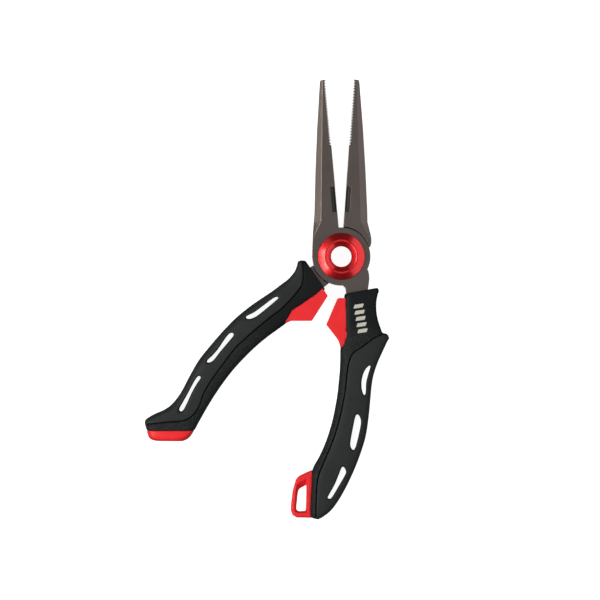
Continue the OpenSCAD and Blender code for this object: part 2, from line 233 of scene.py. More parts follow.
def anodised_red():
    finish = Finish("anodised_red", Metallic=1.0, Coat_Weight=0.85, Coat_Roughness=0.2)
    rings = finish.node("ShaderNodeTexWave", {"wave_type": "RINGS", "rings_direction": "Z"},
                        Vector=finish.place, Scale=RING_SCALE, Distortion=0.4)
    cloud = finish.noise(3 * MM)
    finish.colours(cloud, (0.68, 0.006, 0.010), (0.76, 0.008, 0.014))
    finish.feed("Roughness", 0.30 + rings * 0.05 + cloud * 0.02)
    finish.bump(rings, 0.004 * MM, 0.4)
    return finish.material


# %% Bronze of the washers, nickel of the magnets
def bronze():
    finish = Finish("bronze", Metallic=1.0)
    grain = finish.noise(0.6 * MM, detail=3.0)
    finish.colours(grain, (0.36, 0.20, 0.08), (0.55, 0.34, 0.15))
    finish.feed("Roughness", 0.35 + grain * 0.2)
    finish.bump(grain, 0.01 * MM)
    return finish.material


def nickel():
    finish = Finish("nickel", Metallic=1.0)
    grain = finish.noise(0.8 * MM)
    finish.colours(grain, (0.58, 0.57, 0.55), (0.72, 0.71, 0.69))
    finish.feed("Roughness", 0.18 + grain * 0.1)
    finish.bump(grain, 0.004 * MM)
    return finish.material


# %% [markdown]
# ## Finishes of the mouldings
# The hard cores come out of a spark-eroded mould: their necks are smooth, and the strips that the fingers
# touch carry small dimples. The grips are a softer, duller rubber with a fine pebble. The red parts have a
# tighter satin skin. These grains are too fine to model, so each is a Voronoi or noise pattern that drives
# a small bump, and the same pattern shifts the colour a touch. The dimples fade in along the handle, from
# the neck to the strip.

# %% Black core plastic
STIPPLE_START = -30 * MM
STIPPLE_FADE = 8 * MM
DIMPLE = 0.85 * MM


def core_plastic():
    finish = Finish("core_plastic", Specular_IOR_Level=0.12)
    y = finish.node("ShaderNodeSeparateXYZ", output=1, Vector=finish.place)
    finger_side = finish.node("ShaderNodeClamp", Value=(STIPPLE_START - y) * (1 / STIPPLE_FADE))
    dots = finish.node("ShaderNodeTexVoronoi", Vector=finish.place, Scale=1 / DIMPLE)
    grain = finish.noise(0.2 * MM, detail=3.0)
    cloud = finish.noise(6 * MM)
    dips = (1 - dots) * finger_side
    finish.colours(dips * 0.6 + cloud * 0.25 + grain * 0.15,
                   (0.0050, 0.0065, 0.0073), (0.0180, 0.0215, 0.0222))
    finish.feed("Roughness", 0.50 + cloud * 0.08 + finger_side * 0.08)
    finish.bump(dips + grain * 0.15, 0.16 * MM, 0.8)
    return finish.material


# %% Soft-touch grip rubber
PEBBLE_SCALE = 1700.0               # pebbles 0.6 mm across


def grip_rubber():
    finish = Finish("grip_rubber", Specular_IOR_Level=0.25)
    pebble = finish.node("ShaderNodeTexVoronoi", {"feature": "SMOOTH_F1"},
                         Vector=finish.place, Scale=PEBBLE_SCALE)
    dust = finish.noise(0.25 * MM, detail=3.0)
    cloud = finish.noise(9 * MM)
    finish.colours(dust * 0.5 + cloud * 0.5, (0.0085, 0.0108, 0.0113), (0.0145, 0.0175, 0.0180))
    finish.feed("Roughness", 0.55 + dust * 0.14)
    finish.bump(pebble + dust * 0.4, 0.05 * MM, 0.5)
    return finish.material


# %% Red moulding
def red_plastic():
    finish = Finish("red_plastic", Specular_IOR_Level=0.25)
    skin = finish.noise(0.5 * MM, detail=3.0)
    cloud = finish.noise(8 * MM)
    finish.colours(cloud * 0.7 + skin * 0.3, (0.66, 0.0135, 0.0185), (0.74, 0.020, 0.025))
    finish.feed("Roughness", 0.38 + skin * 0.14)
    finish.bump(skin, 0.03 * MM, 0.35)
    return finish.material


# %% Silver print
FLAKE_SCALE = 6000.0                # flakes 0.17 mm across


def silver_print():
    finish = Finish("silver_print", Metallic=0.2)
    flake = finish.node("ShaderNodeTexVoronoi", Vector=finish.place, Scale=FLAKE_SCALE)
    finish.colours(flake, (0.38, 0.38, 0.335), (0.56, 0.56, 0.50))
    finish.feed("Roughness", 0.32 + flake * 0.2)
    finish.bump(flake, 0.006 * MM)
    return finish.material


# %% Make the materials
steel = coated_steel()
blade = blade_steel()
red_metal = anodised_red()
washer_bronze = bronze()
magnet_nickel = nickel()
core_black = core_plastic()
grip_black = grip_rubber()
moulded_red = red_plastic()
print_silver = silver_print()
print("materials:", ", ".join(material.name for material in bpy.data.materials))

# %% [markdown]
# ## Helpers for meshes
# Three kinds of work turn a shape into a finished piece. A machined part is a copy of its CAD mesh with
# its flat faces joined up and its edges bevelled. A turned part is a profile spun about the pivot. A
# moulded part is cut to shape, wrapped in an even skin of small faces and smoothed. A bevel can't follow
# the ragged edge that a cut leaves across a curved surface, and the skin rounds it everywhere alike.

# %% From a mesh to a finished piece
def as_object(name, mesh):
    made = bpy.data.objects.new(name, mesh)
    scene.collection.objects.link(made)
    return made


def settle(made):
    """Turns an object's modifiers into a plain mesh."""
    evaluated = made.evaluated_get(bpy.context.evaluated_depsgraph_get())
    mesh = bpy.data.meshes.new_from_object(evaluated)
    made.modifiers.clear()
    made.data = mesh
    return made


def finished(made, finish, slot, body, *nodes):
    """Gives a piece its material and body, and hides the CAD nodes it stands for. The slot argument is not
    used.
    """
    made.data.materials.clear()
    made.data.materials.append(finish)
    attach(made, body)
    if nodes:
        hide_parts(*nodes)
    print(f"{made.name}: {len(made.data.polygons)} faces")
    return made


# %% Machined parts
WELD = 0.02 * MM
ONE_PLANE = math.radians(0.6)
BEVEL_FROM = math.radians(24)


def joined_faces(mesh):
    """Joins triangles that lie in one plane, so that only true edges are left."""
    work = bmesh.new()
    work.from_mesh(mesh)
    bmesh.ops.remove_doubles(work, verts=work.verts, dist=WELD)
    bmesh.ops.dissolve_degenerate(work, edges=work.edges, dist=WELD)
    bmesh.ops.dissolve_limit(work, angle_limit=ONE_PLANE, verts=work.verts, edges=work.edges)
    joined = bpy.data.meshes.new(mesh.name)
    work.to_mesh(joined)
    work.free()
    return joined


def machined(name, node, edge, *cuts):
    """A copy of a CAD node, cut by some blocks, with its edges bevelled by edge metres."""
    made = as_object(name, joined_faces(frame["nodes"][node].data))
    for block in cuts:
        cut(made, "DIFFERENCE", block)
        made.data = joined_faces(made.data)
    bevel = made.modifiers.new("edges", "BEVEL")
    bevel.width = edge
    bevel.segments = 2
    bevel.angle_limit = BEVEL_FROM
    bevel.use_clamp_overlap = False
    made.data.shade_smooth()
    flats = made.modifiers.new("flats", "WEIGHTED_NORMAL")
    flats.weight = 100
    flats.use_face_influence = False
    return settle(made)


# %% Shapes from outlines
def closed_mesh(name, rings):
    """A closed tube through rings of equal length, with both ends filled."""
    count = len(rings[0])
    work = bmesh.new()
    made = [[work.verts.new(Vector(p) * MM) for p in ring] for ring in rings]
    for lower, upper in zip(made, made[1:]):
        for i in range(count):
            j = (i + 1) % count
            work.faces.new((lower[i], lower[j], upper[j], upper[i]))
    work.faces.new(reversed(made[0]))
    work.faces.new(made[-1])
    bmesh.ops.recalc_face_normals(work, faces=work.faces)
    mesh = bpy.data.meshes.new(name)
    work.to_mesh(mesh)
    work.free()
    return mesh


def spline(points, steps, closed=False):
    """A smooth curve through the points, as tuples of any length."""
    count = len(points)
    curve = []
    for i in range(count if closed else count - 1):
        a, b, c, d = (points[(i + k) % count] if closed else points[max(0, min(count - 1, i + k))]
                      for k in (-1, 0, 1, 2))
        for step in range(steps):
            t = step / steps
            curve.append(tuple(
                0.5 * (2 * q + (r - p) * t + (2 * p - 5 * q + 4 * r - s) * t ** 2
                       + (3 * q - p - 3 * r + s) * t ** 3)
                for p, q, r, s in zip(a, b, c, d)))
    if not closed:
        curve.append(tuple(points[-1]))
    return curve


def grown(outline, distance):
    """A closed outline moved outwards along its own normals."""
    area = sum(a[0] * b[1] - b[0] * a[1] for a, b in zip(outline, outline[1:] + outline[:1]))
    out = distance if area > 0 else -distance
    moved = []
    for i, (x, y) in enumerate(outline):
        before, after = outline[i - 1], outline[(i + 1) % len(outline)]
        along = Vector((after[0] - before[0], after[1] - before[1])).normalized()
        moved.append((x + along.y * out, y - along.x * out))
    return moved


def prism(name, outline, levels):
    """A stack of copies of an outline: levels holds (height, growth) in mm from the lowest up."""
    return closed_mesh(name, [[(x, y, z) for x, y in grown(outline, growth)] for z, growth in levels])


# %% Cutting and moulding
FAR = 20                            # mm, higher and lower than any piece
THROUGH = [(-FAR, 0), (FAR, 0)]     # the levels of a prism that cuts right through


def cut(made, operation, mesh):
    tool = as_object("tool", mesh)
    carve = made.modifiers.new("carve", "BOOLEAN")
    carve.operation = operation
    carve.solver = "MANIFOLD"
    carve.object = tool
    settle(made)
    bpy.data.objects.remove(tool)
    return made


def moulded(made, skin=0.3 * MM, smoothing=6):
    """Wraps a closed mesh in an even skin of small faces and rounds its rims."""
    remesh = made.modifiers.new("skin", "REMESH")
    remesh.mode = "VOXEL"
    remesh.voxel_size = skin
    remesh.use_smooth_shade = True
    smooth = made.modifiers.new("soften", "SMOOTH")
    smooth.factor = 0.5
    smooth.iterations = smoothing
    return settle(made)


# %% [markdown]
# ## The two levers
# Each lever is one steel forging: a jaw, half of the lap joint, and a tang that the handle is moulded
# round. Its faces are ground flat with a long bevel down the jaw's outside, so a bevelled copy of the CAD
# mesh is already the right shape. Its teeth are milled off here, because they are made again below as a
# repeat. All sizes along a jaw are in mm from the pivot, for closed jaws, and each jaw is turned open by
# its own angle.

# %% Lever meshes
JAWS = (("front_lever", 5.05, -1), ("rear_lever", -3.95, 1))    # node, turn in degrees, side
TOOTH_ROOT = 1.05
TOOTH_PITCH = 1.33
TOOTH_FIRST = 53.0
TOOTH_COUNT = 22
LEVER_EDGE = 0.22 * MM


def teeth_block(degrees, side):
    """What a jaw loses along its toothed edge; side is the jaw's direction from the closing line."""
    low = TOOTH_FIRST - TOOTH_PITCH / 2
    high = low + TOOTH_PITCH * TOOTH_COUNT
    corners = [(-side, low), (TOOTH_ROOT * side, low), (TOOTH_ROOT * side, high), (-side, high)]
    mesh = prism("block", corners, THROUGH)
    mesh.transform(Matrix.Rotation(math.radians(degrees), 4, "Z"))
    return mesh


for node, degrees, side in JAWS:
    lever = machined(node + "_ground", node, LEVER_EDGE, teeth_block(degrees, side))
    finished(lever, steel, "coated_steel", body_of_node[node], node)

# %% [markdown]
# ## The teeth
# A jaw's teeth are one ridge repeated down its inner edge. A Geometry Nodes tree stands a three-sided ridge
# on each point of a line and stretches it to the jaw's thickness there, which shrinks towards the tip. They
# could be cut out of the lever one by one, but as a repeat their count, pitch and height stay plain inputs.
# The ridges are made for a closed jaw and then turned with it, and the valleys are a little deeper than in
# the CAD model, so that each ridge has a shadow of its own.

# %% A small builder of Geometry Nodes trees
class Tree:
    """A Geometry Nodes tree with named inputs, wired by one method.

    A socket is given by its name, or as i0, i1 and so on where several on a node share one name.
    """

    def __init__(self, name, **inputs):
        self.group = bpy.data.node_groups.new(name, "GeometryNodeTree")
        face = self.group.interface
        face.new_socket("Geometry", in_out="OUTPUT", socket_type="NodeSocketGeometry")
        self.made = {}
        for label, value in inputs.items():
            kind = {int: "NodeSocketInt", float: "NodeSocketFloat"}.get(type(value), "NodeSocketMaterial")
            self.made[label] = face.new_socket(label, in_out="INPUT", socket_type=kind).identifier
        self.entry = self.group.nodes.new("NodeGroupInput")
        self.inputs = inputs

    def socket(self, label):
        return self.entry.outputs[label]

    def node(self, kind, settings=None, output=0, **sockets):
        made = self.group.nodes.new(kind)
        for name, setting in (settings or {}).items():
            setattr(made, name, setting)
        for name, value in sockets.items():
            by_number = name[0] == "i" and name[1:].isdigit()
            slot = made.inputs[int(name[1:]) if by_number else name.replace("_", " ")]
            if isinstance(value, bpy.types.NodeSocket):
                self.group.links.new(value, slot)
            else:
                slot.default_value = value
        return made.outputs[output]

    def maths(self, operation, first, second=0.0):
        return self.node("ShaderNodeMath", {"operation": operation}, i0=first, i1=second)

    def finish(self, geometry, material):
        real = self.node("GeometryNodeRealizeInstances", Geometry=geometry)
        painted = self.node("GeometryNodeSetMaterial", Geometry=real, Material=material)
        exit_node = self.group.nodes.new("NodeGroupOutput")
        self.group.links.new(painted, exit_node.inputs[0])

    def grow(self, name):
        """Runs the tree with its stated inputs and returns a plain mesh object."""
        made = as_object(name, bpy.data.meshes.new(name))
        modifier = made.modifiers.new("grow", "NODES")
        modifier.node_group = self.group
        for label, value in self.inputs.items():
            modifier[self.made[label]] = value
        return settle(made)


# %% Grow the teeth of both jaws
TOOTH_TOP = 0.05
TOOTH_BED = 0.12
RIDGE_HEIGHT, RIDGE_WIDTH = 1.5, math.sqrt(3)       # of a three-sided cylinder of radius 1
TAPER_START, TAPER_END = 18.0, 82.5
BASE_THICK, TIP_THICK = 9.6, 4.4


def jaw_thickness(y):
    share = (y - TAPER_START) / (TAPER_END - TAPER_START)
    return BASE_THICK + (TIP_THICK - BASE_THICK) * share


def jaw_teeth(side, degrees):
    last = TOOTH_FIRST + TOOTH_PITCH * (TOOTH_COUNT - 1)
    tree = Tree("jaw_teeth", count=TOOTH_COUNT, pitch=TOOTH_PITCH * MM, first=TOOTH_FIRST * MM,
                height=(TOOTH_ROOT + TOOTH_BED - TOOTH_TOP) * MM, thick=jaw_thickness(TOOTH_FIRST) * MM,
                thin=jaw_thickness(last) * MM, facing=math.pi if side > 0 else 0.0,
                turn=math.radians(degrees), finish=steel)
    ask = tree.socket
    start = tree.node("ShaderNodeCombineXYZ", Y=ask("first"))
    step = tree.node("ShaderNodeCombineXYZ", Y=ask("pitch"))
    line = tree.node("GeometryNodeMeshLine", Count=ask("count"), Start_Location=start, Offset=step)
    ridge = tree.node("GeometryNodeMeshCylinder", Vertices=3, Radius=1.0, Depth=1.0)
    wide = tree.maths("DIVIDE", ask("height"), RIDGE_HEIGHT)
    long = tree.maths("DIVIDE", ask("pitch"), RIDGE_WIDTH)
    size = tree.node("ShaderNodeCombineXYZ", X=wide, Y=long, Z=1.0)
    back = tree.node("ShaderNodeCombineXYZ", X=tree.maths("SUBTRACT", -TOOTH_TOP * MM, wide))
    tooth = tree.node("GeometryNodeTransform", Geometry=ridge, Translation=back, Scale=size)
    gaps = tree.maths("SUBTRACT", ask("count"), 1.0)
    share = tree.maths("DIVIDE", tree.node("GeometryNodeInputIndex"), gaps)
    loss = tree.maths("MULTIPLY", share, tree.maths("SUBTRACT", ask("thin"), ask("thick")))
    thickness = tree.maths("ADD", ask("thick"), loss)
    stretch = tree.node("ShaderNodeCombineXYZ", X=1.0, Y=1.0, Z=thickness)
    about = tree.node("ShaderNodeCombineXYZ", Z=ask("facing"))
    row = tree.node("GeometryNodeInstanceOnPoints", Points=line, Instance=tooth,
                    Rotation=about, Scale=stretch)
    turned_row = tree.node("GeometryNodeTransform", Geometry=row,
                           Rotation=tree.node("ShaderNodeCombineXYZ", Z=ask("turn")))
    tree.finish(turned_row, ask("finish"))
    return tree


for node, degrees, side in JAWS:
    teeth = jaw_teeth(side, degrees).grow(node.replace("lever", "jaw_teeth"))
    finished(teeth, steel, "coated_steel", body_of_node[node])

# %% [markdown]
# ## Cutters, washers and magnets
# Each jaw holds a small hard blade in a pocket beside the joint, for cutting line. The blades are ground
# blocks, so bevelled copies of the CAD meshes are right for them, with a finer edge than the levers'. The
# washers and magnets are sealed inside and nothing of them shows, so they keep their CAD meshes and only
# get their metals.

# %% Cutter blades
BLADE_EDGE = 0.12 * MM
for node in ("front_cutter", "rear_cutter"):
    finished(machined(node + "_ground", node, BLADE_EDGE), blade, "blade_steel", body_of_node[node], node)

# %% Washers and magnets
for node, finish in (("joint_washer", washer_bronze), ("thrust_washer", washer_bronze),
                     ("right_magnet", magnet_nickel), ("left_magnet", magnet_nickel)):
    frame["nodes"][node].data.materials.clear()
    frame["nodes"][node].data.materials.append(finish)
    print(node, "is", finish.name)

# %% [markdown]
# ## The hollow pivot
# The bush and its nut are turned parts, so a half section spun about the pivot's axis is their whole shape.
# Stacked cylinders with booleans would do too, but a spin gives even rings of faces that shade cleanly.
# Their radii and heights come from the CAD boxes. Each corner of the section is broken by a small round, as
# a turner would do it.

# %% Turning
TURN_STEPS = 160
MOST_OF_A_SIDE = 0.45               # the share of a side that one rounded corner may take


def rounded(section, radius, steps=4):
    """A closed section with each corner replaced by a small curve."""
    smooth = []
    for i, corner in enumerate(section):
        here = Vector(corner)
        before, after = Vector(section[i - 1]), Vector(section[(i + 1) % len(section)])
        start = here + (before - here).normalized() * min(radius, (before - here).length * MOST_OF_A_SIDE)
        end = here + (after - here).normalized() * min(radius, (after - here).length * MOST_OF_A_SIDE)
        for step in range(steps + 1):
            t = step / steps
            smooth.append(tuple((1 - t) ** 2 * start + 2 * t * (1 - t) * here + t ** 2 * end))
    return smooth


def turned(name, section):
    """A closed half section of (radius, height) in mm, spun about the pivot's axis."""
    work = bmesh.new()
    rings = []
    for step in range(TURN_STEPS):
        angle = 2 * math.pi * step / TURN_STEPS
        rings.append([work.verts.new(Vector((r * math.cos(angle), r * math.sin(angle), z)) * MM)
                      for r, z in section])
    for i in range(TURN_STEPS):
        here, there = rings[i], rings[(i + 1) % TURN_STEPS]
        for k in range(len(section)):
            n = (k + 1) % len(section)
            work.faces.new((here[k], there[k], there[n], here[n]))
    bmesh.ops.recalc_face_normals(work, faces=work.faces)
    mesh = bpy.data.meshes.new(name)
    work.to_mesh(mesh)
    work.free()
    mesh.shade_smooth()
    return as_object(name, mesh)


# %% Bush and nut
bush_low, bush_high = (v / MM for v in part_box("pivot_bush"))
nut_low, nut_high = (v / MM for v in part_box("pivot_nut"))
lever_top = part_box("front_lever")[1].z / MM
flange_r = bush_high.x
bore_r = next(m for m in record["mounts"] if m["name"] == "pivot_bore")["dims"]["r_mm"]
SHANK_R = 6.6
CREST_IN, CREST_OUT = 7.1, 7.7
LIP = 0.5
COUNTERSINK = 2.0
NUT_DISH = 0.7
TURNED_CORNER = 0.4
print("pivot: flange", round(flange_r, 2), "bore", bore_r, "rim", round(bush_high.z - lever_top, 2))

bush_section = [(bore_r, bush_low.z), (bore_r, bush_high.z - COUNTERSINK), (CREST_IN, bush_high.z),
                (CREST_OUT, bush_high.z), (flange_r, lever_top + LIP), (flange_r, lever_top),
                (SHANK_R, lever_top), (SHANK_R, bush_low.z)]
nut_section = [(SHANK_R, nut_high.z), (flange_r, nut_high.z), (flange_r, nut_high.z - LIP),
               (CREST_OUT, nut_low.z), (CREST_IN, nut_low.z), (SHANK_R, nut_low.z + NUT_DISH)]
for node, section in (("pivot_bush", bush_section), ("pivot_nut", nut_section)):
    finished(turned(node + "_turned", rounded(section, TURNED_CORNER)), red_metal, "anodised_red",
             body_of_node[node], node)

# %% [markdown]
# ## The handles
# A handle is a hard core with a soft grip moulded over its outer side. Its outline follows the hand, and
# each slice across it is a rounded box. A subdivided cage could be pulled into that shape by hand, but a
# loft through slices holds the outline exactly: a slice is the outline's two edges, the thickness between
# the faces, and how square the section is. One loft makes the whole handle, and the core and the grip are
# then cut out of it along the seam. The core keeps a tongue that runs into the grip, as the real one has,
# and that also stops light from shining through the seam.

# %% Slices of the two handles: outer edge x, y, inner edge x, y, half thickness, squareness
RIGHT_SLICES = [
    (16.8, -14.5, 1.8, -17.3, 6.2, 5), (17.5, -15.9, 1.4, -18.4, 6.6, 5),
    (16.9, -17.9, 1.4, -20.2, 6.8, 5), (16.3, -21.5, 1.4, -24, 6.9, 5),
    (16.4, -26, 1.5, -28.5, 6.9, 5), (17.2, -30, 1.5, -33, 7, 5),
    (18.2, -33, 1.6, -37, 7, 5), (19.2, -35.4, 0.7, -40.3, 7.1, 4.6),
    (21, -35.9, -0.3, -42.3, 7.2, 4.2), (22.3, -37.6, -0.5, -44.5, 7.3, 3.8),
    (21.1, -40.2, -0.5, -47, 7.4, 3.5), (19, -44.7, -0.6, -50, 7.5, 3.3),
    (16.8, -49.7, -0.8, -54, 7.5, 3.2), (15, -55.2, -1.2, -58.2, 7.5, 3.2),
    (14.1, -60.5, -1.7, -63, 7.5, 3.2), (13.5, -67, -2.6, -68.7, 7.5, 3.2),
    (12.7, -75, -4.2, -76.5, 7.5, 3.2), (11.4, -83.5, -6.8, -85, 7.5, 3.2),
    (9, -91.5, -10, -92.5, 7.5, 3.2), (5.9, -99.5, -13.4, -99, 7.4, 3.4),
    (2.1, -107.5, -13.9, -105.5, 7.2, 3.6), (-1.6, -113.9, -14.3, -112, 6.8, 3.6),
    (-5, -118.3, -14.5, -117, 6.2, 3.4), (-8.4, -121, -14.6, -120, 5.4, 3.2),
    (-10.4, -122.2, -13.4, -121.6, 4.6, 3)]
LEFT_SLICES = [
    (-16.7, -1.9, -7.5, -15.2, 6.2, 5), (-19.8, -1.9, -9.3, -16.7, 6.6, 5),
    (-20.6, -4, -11.5, -18.2, 6.8, 5), (-21.7, -6.9, -14, -19.9, 6.9, 5),
    (-24.5, -10.3, -18, -22.7, 6.9, 4.6), (-28, -13, -22.6, -25.9, 7, 4.2),
    (-32, -16, -25.2, -30.4, 7.2, 3.8), (-36, -18.7, -29, -33.5, 7.4, 3.4),
    (-42, -22.8, -34, -37.1, 7.5, 3.2), (-48.8, -28.3, -40, -42.1, 7.5, 3.2),
    (-55, -34.6, -46, -48, 7.5, 3.2), (-61, -41.5, -51, -53.6, 7.5, 3.2),
    (-66.5, -48.5, -55.4, -59.4, 7.5, 3.2), (-70.5, -55.5, -59, -64.7, 7.5, 3.2),
    (-74.5, -63, -61.6, -68.9, 7.5, 3.2), (-78.2, -68, -63.2, -71.6, 7.5, 3.2),
    (-82, -71, -64.5, -73.9, 7.5, 3.4), (-87.5, -73.5, -65.8, -76.2, 7.4, 3.6),
    (-91, -75.8, -67, -78.4, 7.4, 3.8), (-91.4, -77.2, -67.6, -79.6, 7.4, 4),
    (-90.4, -81, -68.6, -81.2, 7.4, 4), (-89.6, -83.8, -70, -83.4, 7.2, 3.6),
    (-88.3, -85.1, -71.6, -84.9, 6.6, 3.2), (-86, -85.7, -73.6, -85.8, 5.6, 3)]
print("slices: right", len(RIGHT_SLICES), "left", len(LEFT_SLICES))

# %% Seams and slots
RIGHT_SEAM = [(24, -35.2), (20, -35.9), (17, -36.9), (14.5, -38.3), (12, -40.2), (9, -42.4), (6.5, -44),
              (5, -45.5), (4.1, -47.5), (3.2, -51), (2.5, -56), (1.9, -62), (0.6, -69), (-1.2, -77),
              (-3.7, -85), (-7, -93), (-10.3, -101), (-11.3, -106), (-11.6, -113), (-11.9, -126)]
RIGHT_FAR = [(-11.9, -150), (60, -150), (60, -35.2)]
LEFT_SEAM = [(-17.9, 2), (-17.9, -4), (-17.7, -8), (-17.9, -11.5), (-18.8, -14.2), (-22.5, -18.8),
             (-27.5, -24), (-33, -28.2), (-39, -33.2), (-45, -38.5), (-50, -43.5), (-56, -51.5),
             (-61, -58.5), (-64, -64), (-66, -69.4), (-69, -73.8), (-73, -76.1), (-80, -76.8), (-96, -78.6)]
LEFT_FAR = [(-130, -78.6), (-130, 30), (-17.9, 30)]
RIGHT_SLOTS = [
    [(13.2, -50.4), (13.8, -51.4), (12.7, -55), (11.8, -59), (11.6, -63.4), (11, -64.7), (10.2, -64.2),
     (9.3, -61.6), (9.2, -58), (10, -54.4), (11.4, -51.8)],
    [(7.5, -73), (8.8, -74.5), (9.4, -77), (8.8, -81), (7.4, -87), (6.4, -89.8), (5.4, -90.3), (4.3, -88.8),
     (4, -86.4), (5, -80.6), (6.3, -74.4)],
    [(0.7, -97.3), (1.6, -98), (2.4, -100), (2, -101.8), (-1, -107), (-4, -112), (-5.4, -113.1),
     (-6.5, -112.4), (-6.3, -111.2), (-3.4, -106), (-1.3, -101), (-0.1, -98)]]
LEFT_SLOTS = [
    [(-28.8, -18.9), (-29.7, -18.5), (-32, -19.4), (-36.3, -22.6), (-40.7, -25.8), (-44.2, -27.6),
     (-44.4, -28.8), (-42.6, -29.2), (-39.4, -27.9), (-34.6, -24.2), (-30, -20.3)],
    [(-49.8, -35.9), (-51, -35.2), (-52.9, -36.4), (-55, -39.2), (-57.5, -42.9), (-60, -45.8),
     (-62.8, -48.6), (-62, -49.6), (-59.4, -48.4), (-55.9, -44), (-52.5, -40), (-50.2, -37.2)],
    [(-65.3, -55.6), (-66.6, -55.4), (-68.3, -57.5), (-69.9, -60.4), (-72.3, -64.9), (-74.7, -69.1),
     (-75.7, -71.2), (-74.8, -72.4), (-73.3, -71.4), (-71.6, -68.4), (-69.3, -63.3), (-66.9, -59.1),
     (-65.2, -56.6)]]
print("slots: right", len(RIGHT_SLOTS), "left", len(LEFT_SLOTS))

# %% Loft a handle
SLICE_POINTS = 64
SLICE_STEPS = 8


def slice_ring(outer_x, outer_y, inner_x, inner_y, half_t, squareness):
    ring = []
    for step in range(SLICE_POINTS):
        angle = 2 * math.pi * (step + 0.5) / SLICE_POINTS
        u, w = (math.copysign(abs(v) ** (2 / squareness), v) for v in (math.cos(angle), math.sin(angle)))
        share = (1 + u) / 2
        ring.append((inner_x + (outer_x - inner_x) * share,
                     inner_y + (outer_y - inner_y) * share, w * half_t))
    return ring


def handle_loft(slices):
    return closed_mesh("loft", [slice_ring(*s) for s in spline(slices, SLICE_STEPS)])


# %% Split a handle along its seam and cut its slots
SEAM_STEPS = 6
SLOT_STEPS = 5
SEAM_GAP = 0.45
TONGUE_DEPTH = 2.2
TONGUE_BACK = -5
TONGUE_HALF = 4.6
SLOT_LEVELS = [(-9.6, 1.7), (-6.3, -0.2), (6.3, -0.2), (9.6, 1.7)]
CLEAR = 110                         # mm, from the cap's seam to past either end of the handle


def grip_block(seam, far, away, shift, half):
    """Everything on the grip's side of the seam, moved shift mm towards the grip."""
    side = [(x + away[0] * shift, y + away[1] * shift) for x, y in spline(seam, SEAM_STEPS) + far]
    return prism("grip_side", side, [(-half, 0), (half, 0)])


def across(low, high):
    """A block over the left handle's whole width, from y = low to y = high."""
    return prism("block", [(-130, low), (0, low), (0, high), (-130, high)], THROUGH)


def handle(side, slices, seam, far, away, slots, cap_y=None):
    """Makes a handle's core and grip as two objects."""
    made = []
    for name in ("core", "grip"):
        part = as_object(f"{side}_{name}_moulded", handle_loft(slices))
        if name == "core":
            cut(part, "DIFFERENCE", grip_block(seam, far, away, TONGUE_DEPTH, FAR))
            for z in (-1, 1):
                rim = grip_block(seam, far, away, -SEAM_GAP / 2, FAR)
                rim.transform(Matrix.Translation((0, 0, z * (FAR + TONGUE_HALF) * MM)))
                cut(part, "DIFFERENCE", rim)
        else:
            cut(part, "INTERSECT", grip_block(seam, far, away, SEAM_GAP / 2, FAR))
            tongue = as_object("tongue", grip_block(seam, far, away, TONGUE_BACK, TONGUE_HALF))
            cut(tongue, "DIFFERENCE", grip_block(seam, far, away, TONGUE_DEPTH, FAR))
            cut(part, "DIFFERENCE", tongue.data)
            bpy.data.objects.remove(tongue)
        for outline in slots:
            cut(part, "DIFFERENCE", prism("slot", spline(outline, SLOT_STEPS, closed=True), SLOT_LEVELS))
        if cap_y is not None:
            cut(part, "DIFFERENCE", across(cap_y - CLEAR, cap_y))
        made.append(moulded(part))
    return made


# %% Make both handles
right_core, right_grip = handle("right", RIGHT_SLICES, RIGHT_SEAM, RIGHT_FAR, (0.8, -0.6), RIGHT_SLOTS)
CAP_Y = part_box("end_cap")[1].y / MM
left_core, left_grip = handle("left", LEFT_SLICES, LEFT_SEAM, LEFT_FAR, (-0.7, 0.7), LEFT_SLOTS, CAP_Y)
for side, core, grip in (("right", right_core, right_grip), ("left", left_core, left_grip)):
    body = body_of_node[side + "_handle_core"]
    finished(core, core_black, "core_plastic", body, side + "_handle_core")
    finished(grip, grip_black, "grip_rubber", body, side + "_grip")

# %% [markdown]
# ## The silver mark
# The right core's neck carries a silver mark. Here it is a plain ladder of slanted bars, which says
# nothing. One bar is a filleted parallelogram, filled and given a thickness, and the tree repeats it down
# a line. The bars sink into the neck's top face and stand a hair proud of it, like thick print.

# %% Grow the bars
BAR_COUNT = 5
BAR_WIDE = 4.4
BAR_TALL = 1.7
BAR_PITCH = 2.9
BAR_LEAN = 0.9
BAR_ROUND = 0.3
BAR_THICK = 0.5
BAR_WELD = 0.001 * MM
MARK_FIRST = (8.0, -23.0)
MARK_TURN = 9.0
MARK_FACE = 6.62


